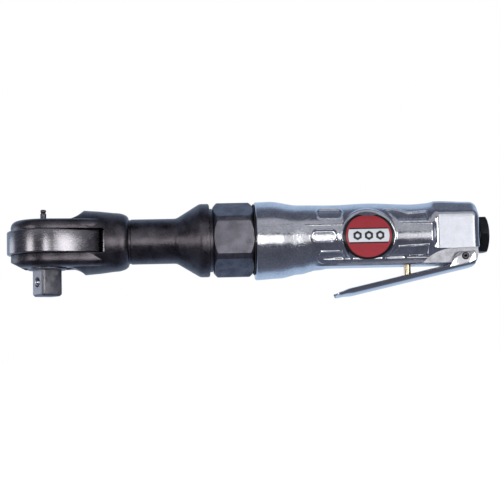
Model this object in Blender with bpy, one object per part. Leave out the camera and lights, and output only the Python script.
"""Air ratchet with a half-inch square drive, modelled piece by piece.

The tool lies along X: the drive axis is at X = 0 and the air inlet is at +X. The square points down, -Z.
Sizes are in millimetres and are turned into metres as each mesh is made. Pieces are drawn about the tool
axis, and one empty lifts them all so that the end face of the square lies at Z = 0.
"""

from math import atan2, cos, pi, radians, sin, sqrt

import bmesh
import bpy
from mathutils import Matrix, Vector

MM = 0.001
GAP = 0.3  # clearance between two pieces that touch on the real tool

# Drive end
SQUARE = 12.7
SQUARE_TURN = radians(35)
SQUARE_CORNER = 1.4
AXIS_HEIGHT = 30.1  # tool axis above the end face of the square
EAR_TOP = 12.7
EAR_BOTTOM = -14.2
EAR_RADIUS = 20.2
SLOT_HALF = 6.95
SLOT_END = 33.4
TAIL_ROOM_END = 41.2
YOKE_RADIUS = 22.4
YOKE_HALF = SLOT_HALF - GAP
YOKE_TEETH = 40
TOOTH_CREST = 16.0
TOOTH_ROOT = 17.3
DISC_RADIUS = 14.9
UPPER_JOURNAL = 10.0
LOWER_JOURNAL = 11.0
LOWER_BORE = 15.2
BALL_RADIUS = 2.0
BALL_DEPTH = -22.0
BALL_OUT = 5.35
PAWL_PIVOT = 10.6
PAWL_HALF = 3.6
KNOB_BORE = 3.8

# Crankshaft, its bearings and the reduction gears
ECCENTRIC = 2.0
CRANK_PIN = 2.6
BUSHING_RADIUS = 4.3
FORK_END = 40.5
FORK_INNER = 7.3
FORK_OUTER = 10.3
NECK_RADIUS = 12.9
NECK_BORE = 9.2
SHAFT_RADIUS = 6.5
GEAR_MODULE = 0.6
TOOTH_TIP = 0.44
TOOTH_FOOT = 0.72
SUN_TEETH = 12
PLANET_TEETH = 12
RING_TEETH = 36
PLANETS = 3
GEARS_FROM = 90.0
GEARS_TO = 99.6
CHAMBER_FROM = 84.8
CHAMBER_RADIUS = 13.7
SKIRT_RADIUS = 15.75
SKIRT_END = 101.0

# Coupling nut
RIM_RADIUS = 21.05
NUT_FROM = 94.6
NUT_TO = 117.3
NUT_RADIUS = 21.35
NUT_ACROSS_FLATS = 38.6
SPIGOT_RADIUS = 17.2

# Vane motor
MOTOR_RADIUS = 15.0
MOTOR_BORE = 15.3
PLATE_FROM = 101.4
CYLINDER_FROM = 108.7
CYLINDER_TO = 152.7
CYLINDER_BORE = 12.6
BORE_OFFSET = 1.4
ROTOR_RADIUS = 10.6
VANES = 5
VANE_THICKNESS = 1.4
VANE_HEIGHT = 6.0

# Handle, throttle and air inlet
HANDLE_FROM = 118.4
HANDLE_TO = 246.0
SPINE_BOTTOM = -17.1
SPINE_EDGE = -13.6
SPINE_EDGE_HALF = 12.9
SPINE_HALF = 9.5
VALVE_X = 206.5
CHAMBER_TOP = 10.8
SEAT = -8.3
STEM_RADIUS = 2.0
STEM_END = -24.6
INLET_BORE = 8.3
HEX_FROM = 248.0
HEX_TO = 253.2
HEX_ACROSS_FLATS = 20.2
THREAD_BORE = 5.8
PIN_X = 238.0
PIN_Z = -12.7
PIN_RADIUS = 1.9
WEB_HALF = 10.4
LEVER_HALF = 12.5
LEVER_SHEET = 1.5
LEVER_FLANGE = 2.0
LEVER_DEPTH = 4.6
LEVER_TIP_X = 165.0
LEVER_TIP_Z = -31.2
LEVER_SLOPE = 0.2156
REAR_FLAT_FROM = 222.7
REAR_FLAT_HALF = 17.4
BADGE_X = 181.7
BADGE_Z = -0.7
BADGE_RADIUS = 14.6
BADGE_THICKNESS = 0.6


def clear_scene():
    for thing in list(bpy.data.objects):
        bpy.data.objects.remove(thing, do_unlink=True)


def make_material(name, colour, roughness, metallic):
    material = bpy.data.materials.new(name)
    material.use_nodes = True
    shader = material.node_tree.nodes["Principled BSDF"]
    shader.inputs["Base Color"].default_value = (*colour, 1)
    shader.inputs["Roughness"].default_value = roughness
    shader.inputs["Metallic"].default_value = metallic
    material.diffuse_color = (*colour, 1)
    return material


def make_object(name, mesh_editor, material, origin=(0, 0, 0)):
    """Turns a bmesh in millimetres about the tool axis into a piece whose own origin is at origin."""
    bmesh.ops.remove_doubles(mesh_editor, verts=mesh_editor.verts, dist=1e-5)
    bmesh.ops.recalc_face_normals(mesh_editor, faces=mesh_editor.faces)
    at = Vector(origin)
    for vertex in mesh_editor.verts:
        vertex.co = (vertex.co - at) * MM
    mesh = bpy.data.meshes.new(name)
    mesh_editor.to_mesh(mesh)
    mesh_editor.free()
    piece = bpy.data.objects.new(name, mesh)
    bpy.context.scene.collection.objects.link(piece)
    piece.location = at * MM
    piece.parent = tool_axis
    if material:
        mesh.materials.append(material)
        mesh.shade_smooth()
        mesh.set_sharp_from_angle(angle=radians(30))
    else:
        piece.hide_render = True
        piece.display_type = "WIRE"
    return piece


def along(axis, distance, radius, angle):
    """A point at a distance along X, Y or Z and at a radius and an angle about it."""
    side, up = radius * cos(angle), radius * sin(angle)
    return {
        "X": Vector((distance, side, up)),
        "Y": Vector((up, distance, side)),
        "Z": Vector((side, up, distance)),
    }[axis]


def turned(name, profile, material=None, axis="X", centre=(0, 0, 0), sides=32, origin=None):
    """A turned solid from a closed profile of (distance along the axis, radius)."""
    shape = bmesh.new()
    rings = []
    for distance, radius in profile:
        count = sides if radius else 1
        ring = [
            shape.verts.new(Vector(centre) + along(axis, distance, radius, 2 * pi * i / sides))
            for i in range(count)
        ]
        rings.append(ring)
    for first, second in zip(rings, rings[1:] + rings[:1]):
        for i in range(sides):
            j = (i + 1) % sides
            corners = [first[i % len(first)], first[j % len(first)]]
            corners += [second[j % len(second)], second[i % len(second)]]
            corners = list(dict.fromkeys(corners))
            if len(corners) > 2:
                shape.faces.new(corners)
    return make_object(name, shape, material, origin or (0, 0, 0))


def rod(name, start, end, radius, material=None, axis="X", centre=(0, 0, 0), sides=24):
    profile = [(start, 0), (start, radius), (end, radius), (end, 0)]
    return turned(name, profile, material, axis, centre, sides)


def washer(name, start, end, outer, inner, material=None, axis="X", centre=(0, 0, 0), sides=28):
    profile = [(start, inner), (start, outer), (end, outer), (end, inner)]
    return turned(name, profile, material, axis, centre, sides)


def extruded(name, outlines, low, high, material=None, axis="Z", chamfer=0.0, origin=(0, 0, 0)):
    """A flat outline, with any holes as further outlines, carried along an axis from low to high."""
    shape = bmesh.new()
    edges = []
    for outline in outlines:
        verts = []
        for u, v in outline:
            verts.append(shape.verts.new({"X": (low, u, v), "Y": (u, low, v), "Z": (u, v, low)}[axis]))
        edges += [shape.edges.new((verts[i - 1], verts[i])) for i in range(len(verts))]
    bmesh.ops.triangle_fill(shape, use_beauty=True, edges=edges)
    lifted = bmesh.ops.extrude_face_region(shape, geom=shape.faces[:], use_keep_orig=True)
    rise = {"X": (high - low, 0, 0), "Y": (0, high - low, 0), "Z": (0, 0, high - low)}[axis]
    verts = [item for item in lifted["geom"] if isinstance(item, bmesh.types.BMVert)]
    bmesh.ops.translate(shape, vec=rise, verts=verts)
    if chamfer:
        rims = [e for e in shape.edges if len(e.link_faces) == 2 and is_rim(e, axis, low, high)]
        bmesh.ops.bevel(shape, geom=rims, offset=chamfer, segments=1, affect="EDGES")
    return make_object(name, shape, material, origin)


def is_rim(edge, axis, low, high):
    """True for an edge between an end face and the sides of an extruded shape."""
    place = "XYZ".index(axis)
    for level in (low, high):
        if all(abs(vertex.co[place] - level) < 1e-6 for vertex in edge.verts):
            return abs(edge.link_faces[0].normal.dot(edge.link_faces[1].normal)) < 0.5
    return False


def rectangle(x0, x1, y0, y1):
    return [(x0, y0), (x1, y0), (x1, y1), (x0, y1)]


def box(name, xs, ys, zs, material=None):
    return extruded(name, [rectangle(*xs, *ys)], *zs, material)


def arc(centre, radius, start, end, steps):
    """Points round an arc between two angles in degrees, ends included."""
    angles = [radians(start + (end - start) * i / steps) for i in range(steps + 1)]
    return [(centre[0] + radius * cos(a), centre[1] + radius * sin(a)) for a in angles]


def circle(radius, steps, centre=(0, 0)):
    return arc(centre, radius, 0, 360 - 360 / steps, steps - 1)


def rounded_square(side, corner, turn, steps=4):
    points = []
    for quarter in range(4):
        middle = turn + quarter * pi / 2 + pi / 4
        reach = (side / 2 - corner) * sqrt(2)
        centre = (reach * cos(middle), reach * sin(middle))
        from_angle = turn * 180 / pi + quarter * 90
        points += arc(centre, corner, from_angle, from_angle + 90, steps)
    return points


def hexagon(across_flats, turn=0.0):
    corner = across_flats / sqrt(3)
    return [(corner * cos(turn + i * pi / 3), corner * sin(turn + i * pi / 3)) for i in range(6)]


def toothed_outline(teeth, root, crest, root_share, crest_share, turn=0.0):
    """A ring of straight-sided teeth. The shares are each level's width as a part of the pitch."""
    pitch = 2 * pi / teeth
    points = []
    for tooth in range(teeth):
        middle = turn + tooth * pitch
        corners = [(root, -root_share), (crest, -crest_share), (crest, crest_share), (root, root_share)]
        for radius, share in corners:
            angle = middle + share * pitch / 2
            points.append((radius * cos(angle), radius * sin(angle)))
    return points


def gear_outline(teeth, turn=0.0):
    pitch_radius = GEAR_MODULE * teeth / 2
    return toothed_outline(teeth, pitch_radius - TOOTH_FOOT, pitch_radius + TOOTH_TIP, 0.56, 0.2, turn)


def modify(target, operation, others):
    for other in others:
        other.hide_render = True
        other.display_type = "WIRE"
        change = target.modifiers.new(operation.lower(), "BOOLEAN")
        change.operation = operation
        change.object = other
    return target


def cut(target, *cutters):
    return modify(target, "DIFFERENCE", cutters)


def join(target, *others):
    return modify(target, "UNION", others)


def spring(name, start, end, radius, wire, turns, material, turn_from_z=None, origin=(0, 0, 0)):
    """A coil spring along Z, or laid along a horizontal direction, as a bevelled curve."""
    curve = bpy.data.curves.new(name, "CURVE")
    curve.dimensions = "3D"
    curve.bevel_depth = wire * MM
    curve.bevel_resolution = 0
    curve.use_fill_caps = True
    spline = curve.splines.new("POLY")
    per_turn = 8
    count = turns * per_turn + 1
    spline.points.add(count - 1)
    inner = wire + 0.01
    for i, point in enumerate(spline.points):
        share = i / (count - 1)
        angle = 2 * pi * i / per_turn
        height = start + inner + (end - start - 2 * inner) * share
        place = Vector((radius * cos(angle), radius * sin(angle), height))
        if turn_from_z is not None:
            place = Matrix.Rotation(turn_from_z, 3, "Z") @ (Matrix.Rotation(pi / 2, 3, "Y") @ place)
        point.co = (*(place * MM), 1)
    curve.materials.append(material)
    piece = bpy.data.objects.new(name, curve)
    bpy.context.scene.collection.objects.link(piece)
    piece.location = Vector(origin) * MM
    piece.parent = tool_axis
    return piece


def make_housing():
    """One forging: two ears with a slot between them, a bulb, a slim neck and a bell for the gears."""
    quarter = [radians(22.5 * i) for i in range(5)]
    scoop = [(12.2 + 9.5 * sin(t), 13.0 + 5.45 * (1 - cos(t))) for t in quarter]
    quarter = [radians(30 * i) for i in range(4)]
    shoulder = [(41 + 5 * sin(t), 13.0 + 4.0 * cos(t)) for t in quarter]
    profile = [(12.2, 0)] + scoop + shoulder
    profile += [(73.6, NECK_RADIUS), (87.2, RIM_RADIUS), (92.5, RIM_RADIUS), (92.5, 18.2), (94.2, 18.2)]
    profile += [(94.2, SKIRT_RADIUS), (SKIRT_END, SKIRT_RADIUS), (SKIRT_END, 0)]
    housing = turned("ratchet_housing", profile, black_steel)
    ears = extruded(
        "ears_form",
        [arc((0, 0), EAR_RADIUS, 85, 275, 20) + [(22, -17.5), (22, 17.5)]],
        EAR_BOTTOM,
        EAR_TOP,
        chamfer=1.6,
    )
    join(housing, ears)
    return cut(
        housing,
        box("slot_cutter", (-40, SLOT_END), (-40, 40), (-SLOT_HALF, SLOT_HALF)),
        box("yoke_tail_cutter", (SLOT_END - 1, TAIL_ROOM_END), (-13.0, 13.0), (-SLOT_HALF, SLOT_HALF)),
        rod("neck_bore_cutter", 41.0, CHAMBER_FROM + 1, NECK_BORE, sides=28),
        rod("gear_chamber_cutter", CHAMBER_FROM, SKIRT_END + 1, CHAMBER_RADIUS, sides=32),
        washer("skirt_groove_cutter", 98.5, 100.1, 17.0, 14.6),
        rod("upper_ear_bore_cutter", 6.0, 14.0, UPPER_JOURNAL + GAP, axis="Z", sides=28),
        rod("lower_ear_bore_cutter", -16.0, -6.0, LOWER_BORE, axis="Z", sides=28),
        washer("ring_groove_cutter", -13.7, -12.5, 16.0, 14.0, axis="Z", sides=28),
    )


def make_drive_end():
    body = [(-15.2, 0), (-15.2, LOWER_JOURNAL), (-6.3, LOWER_JOURNAL), (-6.3, DISC_RADIUS)]
    body += [(5.6, DISC_RADIUS), (5.6, UPPER_JOURNAL), (12.4, UPPER_JOURNAL), (12.4, 7.9)]
    body += [(11.2, 7.9), (11.2, KNOB_BORE), (-4.8, KNOB_BORE), (-4.8, 0)]
    anvil = turned("drive_anvil", body, dark_steel, axis="Z", sides=28)
    square = rounded_square(SQUARE, SQUARE_CORNER, SQUARE_TURN)
    tang = extruded("square_form", [square], -AXIS_HEIGHT, -14.6, chamfer=0.8)
    ball_way = SQUARE_TURN + pi
    ball_hole = rod("ball_hole_cutter", 1.2, 8.0, BALL_RADIUS + GAP, axis="X", sides=20)
    ball_hole.rotation_euler = (0, 0, ball_way)
    ball_hole.location = (0, 0, BALL_DEPTH * MM)
    join(anvil, tang)
    cut(
        anvil,
        box("pawl_pocket_cutter", (2.2, 17), (-9.7, 9.7), (-4.0, 4.0)),
        rod("pawl_pin_cutter", -5.6, 5.0, 1.2 + GAP, axis="Z", centre=(PAWL_PIVOT, 0, 0), sides=12),
        ball_hole,
    )
    outward = Vector((cos(ball_way), sin(ball_way), 0))
    centre = outward * BALL_OUT + Vector((0, 0, BALL_DEPTH))
    steps = [radians(22.5 * i) for i in range(9)]
    ball = [(-BALL_RADIUS * cos(t), BALL_RADIUS * sin(t) if 0 < t < 3.1 else 0) for t in steps]
    turned("retaining_ball", ball, bright_steel, axis="Z", centre=centre, sides=14, origin=centre)
    spring(
        "retaining_ball_spring", 1.5, 2.2, 1.5, 0.15, 1, spring_steel,
        turn_from_z=ball_way, origin=(0, 0, BALL_DEPTH),
    )

    nose = arc((0, 0), YOKE_RADIUS, 74, 286, 26)
    lower = [(30.2, -12.4), (31.8, -FORK_OUTER), (FORK_END, -FORK_OUTER)]
    lower += [(FORK_END, -FORK_INNER), (30.2, -FORK_INNER)]
    outline = nose + lower + [(x, -y) for x, y in reversed(lower)]
    teeth = toothed_outline(YOKE_TEETH, TOOTH_ROOT, TOOTH_CREST, 0.7, 0.16)
    extruded("ratchet_yoke", [outline, teeth], -YOKE_HALF, YOKE_HALF, polished_steel)

    half = [(8.4, 5.0), (11.5, 8.6), (13.0, 7.8), (13.7, 3.0)]
    pawl = extruded(
        "pawl", [[(x, -y) for x, y in half] + half[::-1]], -PAWL_HALF, PAWL_HALF, bright_steel,
        origin=(PAWL_PIVOT, 0, 0),
    )
    cut(pawl, rod("pawl_hole_cutter", -5, 5, 1.5, axis="Z", centre=(PAWL_PIVOT, 0, 0), sides=12))
    rod("pawl_pin", -5.3, 4.7, 1.2, bright_steel, axis="Z", centre=(PAWL_PIVOT, 0, 0), sides=12)

    knob = turned(
        "reverse_knob",
        [(-4.4, 0), (-4.4, 3.5), (11.5, 3.5), (11.5, 7.5), (12.9, 7.5), (13.3, 7.0), (13.3, 0)],
        black_steel, axis="Z", sides=20,
    )
    cut(knob, rod("plunger_hole_cutter", 0.4, 5.0, 1.6, sides=12))
    turned(
        "reverse_peg",
        [(13.6, 0), (13.6, 1.7), (17.0, 1.7), (17.3, 1.4), (18.6, 1.4), (18.9, 1.1), (18.9, 0)],
        black_steel, axis="Z", centre=(-1.4, -4.6, 0), sides=16,
    )
    tip = [(3.2, 0), (3.2, 1.3), (7.4, 1.3), (7.9, 0.8), (8.0, 0)]
    turned("pawl_plunger", tip, bright_steel, sides=12)
    spring("pawl_spring", 0.7, 2.4, 1.1, 0.18, 3, spring_steel, turn_from_z=0.0)
    washer("thrust_washer", 5.9, 6.65, 14.6, 10.4, bronze, axis="Z")
    washer("anvil_bushing", -12.2, -6.9, LOWER_BORE - GAP, LOWER_JOURNAL + GAP, bronze, axis="Z", sides=28)
    washer("anvil_retaining_ring", -13.4, -12.7, 15.7, 12.4, spring_steel, axis="Z", sides=28)


def make_crank():
    """The crankshaft carries the planet gears at its rear and an eccentric pin at its front."""
    shaft = [(41.5, 0), (41.5, 8.6), (46.0, 8.6), (46.0, SHAFT_RADIUS), (CHAMBER_FROM + 0.5, SHAFT_RADIUS)]
    shaft += [(CHAMBER_FROM + 0.5, 12.6), (89.3, 12.6), (89.3, 0)]
    crank = turned("crankshaft", shaft, bright_steel, sides=28)
    pin = rod("crank_pin_form", 32.6, 42.0, CRANK_PIN, centre=(0, 0, ECCENTRIC), sides=20)
    join(crank, pin)
    for index in range(PLANETS):
        turn = 2 * pi * index / PLANETS
        centre = planet_centre(turn)
        cut(crank, rod(f"planet_pin_{index + 1}_cutter", 86.0, 90.0, 1.8, centre=centre, sides=12))
        rod(f"planet_pin_{index + 1}", 86.3, GEARS_TO, 1.5, bright_steel, centre=centre, sides=12)
        half_tooth = pi / PLANET_TEETH
        extruded(
            f"planet_gear_{index + 1}",
            [
                [(u + centre[1], v + centre[2]) for u, v in gear_outline(PLANET_TEETH, half_tooth + turn)],
                circle(1.8, 12, (centre[1], centre[2])),
            ],
            GEARS_FROM, GEARS_TO - GAP, gear_steel, axis="X", origin=centre,
        )
    washer(
        "drive_bushing", 33.0, 40.4, BUSHING_RADIUS, CRANK_PIN + GAP, bronze,
        centre=(0, 0, ECCENTRIC), sides=20,
    )
    washer("front_crank_bearing", 48.0, 60.0, NECK_BORE - GAP, SHAFT_RADIUS + GAP, bearing_steel)
    washer("rear_crank_bearing", 68.0, 80.0, NECK_BORE - GAP, SHAFT_RADIUS + GAP, bearing_steel)
    washer("bearing_spacer", 60.3, 67.7, NECK_BORE - GAP, NECK_BORE - 1.5, bright_steel)
    ring_pitch = GEAR_MODULE * RING_TEETH / 2
    inner = toothed_outline(RING_TEETH, ring_pitch + TOOTH_FOOT, ring_pitch - TOOTH_TIP, 0.56, 0.2)
    outer = circle(CHAMBER_RADIUS - GAP, 36)
    extruded("ring_gear", [outer, inner], GEARS_FROM, GEARS_TO, gear_steel, axis="X")


def planet_centre(turn):
    reach = GEAR_MODULE * (SUN_TEETH + PLANET_TEETH) / 2
    return (0, reach * cos(turn), reach * sin(turn))


def make_coupling():
    """The nut draws the handle against the housing. A split ring keeps it on the housing's skirt."""
    outer = [(NUT_FROM, 19.6), (NUT_FROM + 1.3, NUT_RADIUS), (NUT_TO - 1.3, NUT_RADIUS), (NUT_TO, 19.6)]
    inner = [(NUT_TO, SPIGOT_RADIUS + GAP), (98.2, SPIGOT_RADIUS + GAP), (98.2, SKIRT_RADIUS + GAP)]
    nut = turned("coupling_nut", outer + inner + [(NUT_FROM, SKIRT_RADIUS + GAP)], black_steel)
    hexagonal = extruded(
        "nut_flats_form", [hexagon(NUT_ACROSS_FLATS, pi / 2)], NUT_FROM - 2, NUT_TO + 2, axis="X"
    )
    modify(nut, "INTERSECT", [hexagonal])
    split = arc((0, 0), 17.2, 8, 352, 24) + arc((0, 0), 16.2, 352, 8, 24)
    extruded("nut_retaining_ring", [split], 98.8, 99.8, spring_steel, axis="X")
    washer("coupling_gasket", NUT_TO + 0.2, HANDLE_FROM - 0.2, 20.4, SPIGOT_RADIUS + GAP, rubber)


def make_motor():
    plate = [(PLATE_FROM, 9.8), (PLATE_FROM, MOTOR_RADIUS), (108.4, MOTOR_RADIUS)]
    plate += [(108.4, 5.2), (107.0, 5.2), (107.0, 9.8)]
    turned("front_end_plate", plate, cast_iron)
    washer("front_rotor_bearing", 101.7, 106.7, 9.5, 4.6, bearing_steel)
    plate = [(153.0, 3.7), (153.0, MOTOR_RADIUS), (159.8, MOTOR_RADIUS)]
    plate += [(159.8, 8.8), (154.2, 8.8), (154.2, 3.7)]
    rear_plate = turned("rear_end_plate", plate, cast_iron)
    washer("rear_rotor_bearing", 154.5, 159.5, 8.5, 3.3, bearing_steel)

    liner = rod("motor_cylinder", CYLINDER_FROM, CYLINDER_TO, MOTOR_RADIUS, cast_iron, sides=32)
    ports = [
        rod(f"port_{i + 1}_cutter", 0, 20, 1.6, axis="Y", centre=(118 + 8 * i, 0, 0), sides=12)
        for i in range(4)
    ]
    bore = rod(
        "cylinder_bore_cutter", CYLINDER_FROM - 1, CYLINDER_TO + 1, CYLINDER_BORE,
        centre=(0, 0, BORE_OFFSET), sides=32,
    )
    dowel_hole = rod("dowel_cutter", 148.0, 156.0, 1.3, centre=(0, 0, -13.2), sides=12)
    cut(liner, bore, dowel_hole, *ports)
    cut(rear_plate, dowel_hole)
    rod("motor_dowel", 148.3, 155.6, 1.0, bright_steel, centre=(0, 0, -13.2), sides=12)

    slot_half = VANE_THICKNESS / 2 + GAP
    slot_bottom = ROTOR_RADIUS - VANE_HEIGHT - GAP
    edge = atan2(slot_half, sqrt(ROTOR_RADIUS**2 - slot_half**2)) * 180 / pi
    outline = []
    for index in range(VANES):
        middle = 360 * index / VANES
        turn = radians(middle)
        for side in (-1, 1):
            u, v = slot_bottom, side * slot_half
            outline.append((u * cos(turn) - v * sin(turn), u * sin(turn) + v * cos(turn)))
        outline += arc((0, 0), ROTOR_RADIUS, middle + edge, middle + 360 / VANES - edge, 6)
        make_vane(index + 1, turn)
    rotor = extruded("motor_rotor", [outline], CYLINDER_FROM + GAP, CYLINDER_TO - GAP, bright_steel, axis="X")
    shaft = [(100.2, 0), (100.2, 4.3), (110.0, 4.3), (110.0, 3.0), (159.6, 3.0), (159.6, 0)]
    pinion = extruded("pinion_form", [gear_outline(SUN_TEETH)], GEARS_FROM + GAP, SKIRT_END, axis="X")
    join(rotor, turned("rotor_shaft_form", shaft, sides=24), pinion)


def make_vane(number, turn):
    vane = box(
        f"vane_{number}",
        (CYLINDER_FROM + 0.6, CYLINDER_TO - 0.6),
        (ROTOR_RADIUS - VANE_HEIGHT - 0.05, ROTOR_RADIUS - 0.05),
        (-VANE_THICKNESS / 2, VANE_THICKNESS / 2),
        phenolic,
    )
    vane.rotation_euler = (turn, 0, 0)


def handle_section(x):
    """Height above the axis, depth below it and half width of the handle at a distance along it."""
    top_stations = [(HANDLE_FROM, 21.4), (127, 21.6), (144, 19.2), (163, 18.9)]
    top_stations += [(184, 19.6), (209, 18.6), (224, 19.5), (241, 18.7)]
    top = blend(x, top_stations)
    bottom = blend(x, [(HANDLE_FROM, 23.4), (132, 22.7), (144, 20.6), (154, 18.9), (166, 18.6)])
    width = blend(x, [(HANDLE_FROM, 21.6), (132, 21.2), (150, 19.4), (HANDLE_TO, 19.0)])
    return top, bottom, width


def blend(x, stations):
    """A smooth value between stations of (place, value), level at each of them."""
    if x <= stations[0][0]:
        return stations[0][1]
    for (x0, v0), (x1, v1) in zip(stations, stations[1:]):
        if x <= x1:
            share = (x - x0) / (x1 - x0)
            return v0 + (v1 - v0) * share * share * (3 - 2 * share)
    return stations[-1][1]


def make_handle():
    """The motor housing: a lofted hand grip with a flat spine under it and a square rear block."""
    shape = bmesh.new()
    sides = 32
    stations = [HANDLE_FROM, 127, 133, 138, 144, 154, 166, 184, 209, 217, 224, 240, 244, HANDLE_TO]
    rings = []
    for x in stations:
        top, bottom, width = handle_section(x)
        inset = {HANDLE_TO: 4.5, 244: 1.6}.get(x, 0)
        ring = []
        for i in range(sides):
            angle = 2 * pi * (i + 0.5) / sides
            height = (top if sin(angle) > 0 else bottom) - inset
            y = (width - inset) * cos(angle)
            ring.append(shape.verts.new((x, y, height * sin(angle))))
        rings.append(ring)
    for first, second in zip(rings, rings[1:]):
        for i in range(sides):
            j = (i + 1) % sides
            shape.faces.new((first[i], first[j], second[j], second[i]))
    shape.faces.new(rings[0])
    shape.faces.new(rings[-1])
    handle = make_object("motor_housing", shape, aluminium)

    spine = extruded(
        "spine_form",
        [[(-10, -4), (-SPINE_EDGE_HALF, SPINE_EDGE), (-SPINE_HALF, SPINE_BOTTOM),
          (SPINE_HALF, SPINE_BOTTOM), (SPINE_EDGE_HALF, SPINE_EDGE), (10, -4)]],
        152.0, HANDLE_TO - 0.4, axis="X",
    )
    underside = box("underside_cutter", (163.0, 250.0), (-30, 30), (-40, SPINE_BOTTOM - 0.05))
    spigot = rod("spigot_form", 103.6, 121.0, SPIGOT_RADIUS, sides=32)
    join(handle, spigot)
    cut(handle, underside)
    join(handle, spine)

    arc_top = [(216.0, -15.0), (219.0, -12.4), (223.5, -10.2), (228.0, -8.9), (233.0, -8.2), (250.0, -7.8)]
    recess = arc_top + [(250.0, -22.0), (214.0, -22.0)]
    heel = [(236.0, -17.3), (250.0, -14.6), (250.0, -22.0), (236.0, -22.0)]
    cut(
        handle,
        extruded("heel_cutter", [heel], -30, 30, axis="Y"),
        extruded("rear_recess_cutter", [recess], WEB_HALF, 30, axis="Y"),
        extruded("front_recess_cutter", [recess], -30, -WEB_HALF, axis="Y"),
        box("rear_flat_cutter", (REAR_FLAT_FROM, 250), (REAR_FLAT_HALF, 30), (-12, 13.6)),
        box("front_flat_cutter", (REAR_FLAT_FROM, 250), (-30, -REAR_FLAT_HALF), (-12, 13.6)),
        rod("motor_bore_cutter", 103.0, 160.5, MOTOR_BORE, sides=32),
        rod("inlet_cutter", 204.0, 226.0, 5.5, sides=12),
        rod("inlet_seat_cutter", 225.0, 247.0, INLET_BORE, sides=24),
        rod("valve_chamber_cutter", SEAT, CHAMBER_TOP, 5.9, axis="Z", centre=(VALVE_X, 0, 0), sides=20),
        rod("stem_bore_cutter", -18.0, SEAT + 0.5, 4.2, axis="Z", centre=(VALVE_X, 0, 0), sides=12),
        rod("air_passage_cutter", 159.5, VALVE_X, 2.2, centre=(0, 0, -10.4), sides=12),
        rod("front_exhaust_cutter", 159.5, 247.0, 2.6, centre=(0, -10.4, 8.6), sides=12),
        rod("rear_exhaust_cutter", 159.5, 247.0, 2.6, centre=(0, 10.4, 8.6), sides=12),
        rod("lever_pin_cutter", -30, 30, PIN_RADIUS + GAP, axis="Y", centre=(PIN_X, 0, PIN_Z), sides=12),
    )

    width = handle_section(BADGE_X)[2]
    badge = rod("badge", 12.0, width + 0.9, BADGE_RADIUS, badge_print, axis="Y", sides=28)
    badge.location = (BADGE_X * MM, 0, BADGE_Z * MM)
    badge.rotation_euler = (0, 0, pi)
    inside = width + 0.25
    start, end = BADGE_X - 20, BADGE_X + 20
    modify(badge, "INTERSECT", [rod("badge_front_form", start, end, inside + BADGE_THICKNESS, sides=48)])
    cut(badge, rod("badge_back_cutter", start, end, inside, sides=48))


def make_throttle():
    """The lever lifts the brass stem, which lifts the valve off its seat against the spring."""
    stem = [(STEM_END, 0), (STEM_END, 1.2), (STEM_END + 0.4, STEM_RADIUS), (SEAT + 1.7, STEM_RADIUS)]
    stem += [(SEAT + 1.7, 5.2), (SEAT + 3.2, 5.2), (SEAT + 3.2, 2.2), (SEAT + 4.6, 2.0), (SEAT + 4.6, 0)]
    centre = (VALVE_X, 0, 0)
    turned("valve_stem", stem, brass, axis="Z", centre=centre, sides=16, origin=(VALVE_X, 0, SEAT))
    sleeves = [
        ("valve_seal", SEAT + 0.3, SEAT + 1.4, 5.1, rubber),
        ("valve_bushing", -17.0, -12.6, 3.9, brass),
        ("stem_o_ring", -12.3, -11.0, 3.9, rubber),
    ]
    for name, start, end, outer, material in sleeves:
        washer(name, start, end, outer, STEM_RADIUS + GAP, material, axis="Z", centre=centre, sides=16)
    spring("valve_spring", SEAT + 3.5, CHAMBER_TOP - 0.3, 3.6, 0.4, 5, spring_steel, origin=centre)

    slope_angle = atan2(LEVER_SLOPE, 1)
    length = (PIN_X + 6.0 - LEVER_TIP_X) / cos(slope_angle)
    half = [(LEVER_HALF, 0), (LEVER_HALF, -LEVER_FLANGE), (LEVER_HALF - 2.2, 0.9 - LEVER_DEPTH)]
    half += [(5.0, 0.2 - LEVER_DEPTH)]
    outer = [(-y, z) for y, z in half] + [(y, z) for y, z in reversed(half)]
    half = [(LEVER_HALF - LEVER_SHEET, 0), (LEVER_HALF - LEVER_SHEET, 0.4 - LEVER_FLANGE)]
    half += [(LEVER_HALF - 3.0, 2.3 - LEVER_DEPTH), (4.8, 1.7 - LEVER_DEPTH)]
    inner = [(y, z) for y, z in half] + [(-y, z) for y, z in reversed(half)]
    pivot = (PIN_X, 0, PIN_Z)
    sheet = extruded("throttle_lever", [outer + inner], 0, length, bright_plate, axis="X", origin=pivot)
    tip = Matrix.Translation(Vector((LEVER_TIP_X, 0, LEVER_TIP_Z)) * MM)
    place = tip @ Matrix.Rotation(-slope_angle, 4, "Y")
    undo = Matrix.Translation(Vector(pivot) * MM)
    sheet.data.transform(undo.inverted() @ place @ undo)

    base = LEVER_TIP_Z + (229.5 - LEVER_TIP_X) * LEVER_SLOPE
    end = LEVER_TIP_Z + (243.6 - LEVER_TIP_X) * LEVER_SLOPE
    ear = [(229.5, base - 0.7), (233.3, -10.4), (243.0, -9.9), (243.9, -10.8), (243.9, end - 0.7)]
    ears = [
        extruded("front_ear_form", [ear], -LEVER_HALF, -LEVER_HALF + LEVER_SHEET, axis="Y"),
        extruded("rear_ear_form", [ear], LEVER_HALF - LEVER_SHEET, LEVER_HALF, axis="Y"),
    ]
    join(sheet, *ears)
    cut(
        sheet,
        rod("ear_hole_cutter", -30, 30, PIN_RADIUS + GAP, axis="Y", centre=pivot, sides=12),
        box("lever_heel_cutter", (243.95, 260), (-30, 30), (-40, 0)),
    )
    reach = LEVER_HALF + 0.4
    washer("lever_pin", -reach, reach, PIN_RADIUS, 0.8, black_steel, axis="Y", centre=pivot, sides=12)


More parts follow.
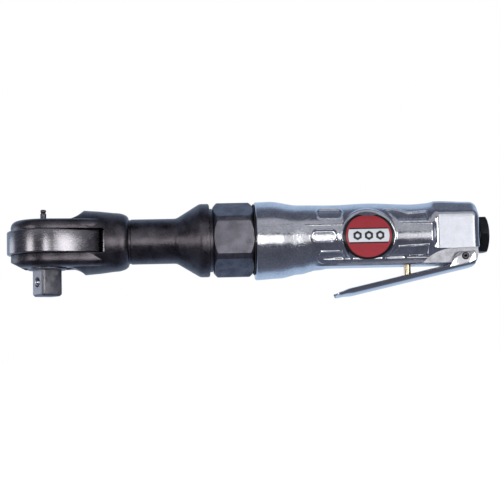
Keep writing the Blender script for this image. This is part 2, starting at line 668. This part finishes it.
def make_inlet():
    profile = [(232.0, THREAD_BORE), (232.0, INLET_BORE - GAP), (HANDLE_TO + 0.3, INLET_BORE - GAP)]
    profile += [(HANDLE_TO + 0.3, 9.2), (HEX_FROM, 9.2), (HEX_FROM, 8.4), (HEX_TO, 8.4)]
    profile += [(HEX_TO, THREAD_BORE + 0.8), (HEX_TO - 0.8, THREAD_BORE)]
    bushing = turned("inlet_bushing", profile, black_plate, sides=24)
    outline = hexagon(HEX_ACROSS_FLATS)
    flats = extruded("bushing_hex_form", [outline], HEX_FROM - 0.2, HEX_TO, axis="X", chamfer=0.7)
    hole = rod("bushing_hole_cutter", HEX_FROM - 3, HEX_TO + 1, THREAD_BORE, sides=24)
    cut(join(bushing, flats), hole)
    washer("inlet_o_ring", 230.2, 231.7, INLET_BORE - GAP, 6.2, rubber, sides=20)
    cup = [(226.4, 0), (226.4, INLET_BORE - 0.6), (228.0, INLET_BORE - 0.6), (228.0, 4.6)]
    cup += [(229.6, 4.6), (229.6, 3.8), (227.2, 3.8), (227.2, 0)]
    turned("inlet_screen", cup, spring_steel, sides=16)


clear_scene()
tool_axis = bpy.data.objects.new("tool_axis", None)
bpy.context.scene.collection.objects.link(tool_axis)
tool_axis.location = (0, 0, AXIS_HEIGHT * MM)

black_steel = make_material("black_steel", (0.03, 0.03, 0.033), 0.45, 0.8)
dark_steel = make_material("dark_steel", (0.09, 0.09, 0.1), 0.35, 0.9)
polished_steel = make_material("polished_steel", (0.3, 0.29, 0.32), 0.25, 1.0)
bright_steel = make_material("bright_steel", (0.6, 0.6, 0.6), 0.2, 1.0)
bright_plate = make_material("bright_plate", (0.7, 0.7, 0.72), 0.15, 1.0)
spring_steel = make_material("spring_steel", (0.4, 0.4, 0.42), 0.3, 1.0)
gear_steel = make_material("gear_steel", (0.35, 0.35, 0.36), 0.35, 1.0)
bearing_steel = make_material("bearing_steel", (0.65, 0.65, 0.66), 0.2, 1.0)
aluminium = make_material("aluminium", (0.75, 0.76, 0.8), 0.18, 1.0)
bronze = make_material("bronze", (0.6, 0.42, 0.2), 0.4, 1.0)
brass = make_material("brass", (0.75, 0.6, 0.32), 0.25, 1.0)
cast_iron = make_material("cast_iron", (0.2, 0.2, 0.2), 0.6, 0.8)
black_plate = make_material("black_plate", (0.02, 0.02, 0.02), 0.3, 0.6)
phenolic = make_material("phenolic", (0.25, 0.13, 0.06), 0.6, 0.0)
rubber = make_material("rubber", (0.015, 0.015, 0.015), 0.7, 0.0)
badge_print = make_material("badge_print", (0.4, 0.03, 0.03), 0.35, 0.0)

make_housing()
make_drive_end()
make_crank()
make_coupling()
make_motor()
make_handle()
make_throttle()
make_inlet()
